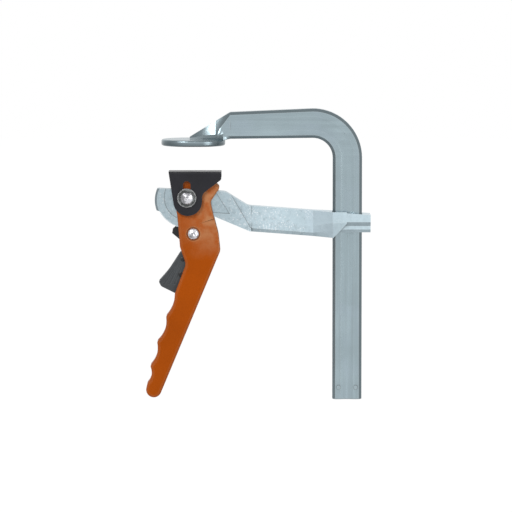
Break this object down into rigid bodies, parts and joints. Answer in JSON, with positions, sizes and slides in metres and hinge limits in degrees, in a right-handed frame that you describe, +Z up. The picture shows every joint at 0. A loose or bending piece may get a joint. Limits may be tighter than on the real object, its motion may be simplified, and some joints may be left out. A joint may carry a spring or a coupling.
{
  "type": "quick release bar clamp",
  "caption": "Bar clamp with a forged steel rail and fixed jaw, a sliding arm, and an orange cam lever held by a ratchet pawl, which pushes a black shoe towards the fixed jaw.",
  "frame": {"origin": "centre of the fixed jaw's pressing face", "axes": "+X from the jaws to the rail, +Z up along the rail towards the fixed arm, -Y the front of the picture"},
  "size_m": [0.1921, 0.048, 0.2496],
  "materials": {
    "zinc_rail": "bright zinc plated bar",
    "zinc_cast": "zinc plated casting",
    "orange_paint": "glossy orange powder coat",
    "black_shoe": "black oxide, slightly glossy",
    "pin_steel": "riveted zinc plated steel",
    "washer_steel": "zinc plated washer",
    "spring_steel": "spring wire",
    "black_pawl": "blackened steel",
    "trigger_plastic": "moulded dark grey plastic"
  },
  "bodies": {
    "rail": {"rail": "zinc_rail"},
    "sliding_arm": {"sliding_arm": "zinc_cast", "pivot_pin": "pin_steel", "pivot_washer_front": "washer_steel", "pivot_washer_back": "washer_steel"},
    "lever": {"lever": "orange_paint", "pawl_rivet": "pin_steel", "pawl_spacer_front": "washer_steel", "pawl_spacer_back": "washer_steel", "pawl_spring": "spring_steel"},
    "shoe": {"shoe": "black_shoe"},
    "pawl": {"pawl": "black_pawl", "trigger": "trigger_plastic", "trigger_rivet_upper": "black_pawl", "trigger_rivet_lower": "black_pawl"}
  },
  "joints": [
    {"name": "arm_slide", "type": "slide", "parent": "rail", "child": "sliding_arm", "axis": [0, 0, 1], "range_m": [-0.13, 0.0178]},
    {"name": "lever_pivot", "type": "hinge", "parent": "sliding_arm", "child": "lever", "pos_m": [-0.0054, 0, -0.0442], "axis": [0, -1, 0], "range_deg": [-36, 24]},
    {"name": "shoe_lift", "type": "slide", "parent": "sliding_arm", "child": "shoe", "axis": [0, 0, 1], "range_m": [-0.0058, 0.0039]},
    {"name": "pawl_pivot", "type": "hinge", "parent": "lever", "child": "pawl", "pos_m": [0, 0, -0.0752], "axis": [0, -1, 0], "range_deg": [-3, 9], "stiffness_Nm_per_rad": 0.1, "springref_deg": -20.05}
  ],
  "couplings": [
    {"joint": "shoe_lift", "follows": "lever_pivot", "m_per_rad": 0.00898}
  ]
}
